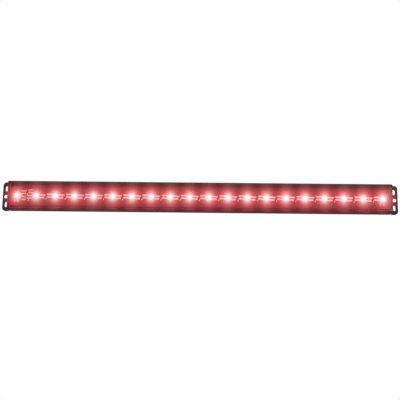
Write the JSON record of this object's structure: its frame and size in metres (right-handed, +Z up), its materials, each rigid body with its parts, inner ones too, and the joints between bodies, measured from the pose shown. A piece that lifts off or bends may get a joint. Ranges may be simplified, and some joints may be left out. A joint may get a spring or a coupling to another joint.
{
  "type": "third brake light",
  "caption": "Slim LED brake light bar: black channel housing, clear lens, glowing red LED row and a slotted mounting ear at each end.",
  "frame": {"origin": "in the rear mounting plane, midway between the middle slots of the two ears", "axes": "+X along the bar, -Y out of the lens, +Z up; the ears' rear faces lie at Y = 0"},
  "size_m": [0.6196, 0.016, 0.046],
  "materials": {
    "black_anodised": "satin black anodised",
    "clear_lens": "clear gloss polycarbonate",
    "clear_end_plug": "clear gloss polycarbonate, lit red from inside",
    "silicone_seal": "matte silicone",
    "end_silicone": "translucent silicone, lit red from inside",
    "zinc_steel": "zinc plated",
    "black_steel": "satin black powder coat",
    "grommet_rubber": "matte rubber",
    "thermal_pad": "matte silicone pad",
    "board_mask": "satin solder mask over a metal core, lit red",
    "tinned_copper": "tinned",
    "solder": "bright solder",
    "led_epoxy": "clear epoxy, lit",
    "led_cup": "bright plated cup",
    "led_die": "lit red die",
    "chip_ceramic": "pale ceramic chip, lit pink",
    "board_print": "dark printed marks",
    "diode_body": "moulded chip body",
    "capacitor_body": "tan ceramic"
  },
  "bodies": {
    "root": {"housing": "black_anodised", "lens": "clear_lens", "lens_seal_upper": "silicone_seal", "lens_seal_lower": "silicone_seal", "left_end_plug": "clear_end_plug", "right_end_plug": "clear_end_plug", "left_end_seal": "end_silicone", "right_end_seal": "end_silicone", "left_bracket": "black_steel", "right_bracket": "black_steel", "bracket_screws": "zinc_steel", "cable_grommet": "grommet_rubber", "thermal_pad": "thermal_pad", "led_board": "board_mask", "circuit_tracks": "tinned_copper", "solder_joints": "solder", "led_packages": "led_epoxy", "led_terminals": "tinned_copper", "led_reflector_cups": "led_cup", "led_dies": "led_die", "ballast_resistors": "chip_ceramic", "ballast_terminals": "solder", "polarity_diode": "diode_body", "filter_capacitor": "capacitor_body"}
  },
  "joints": []
}
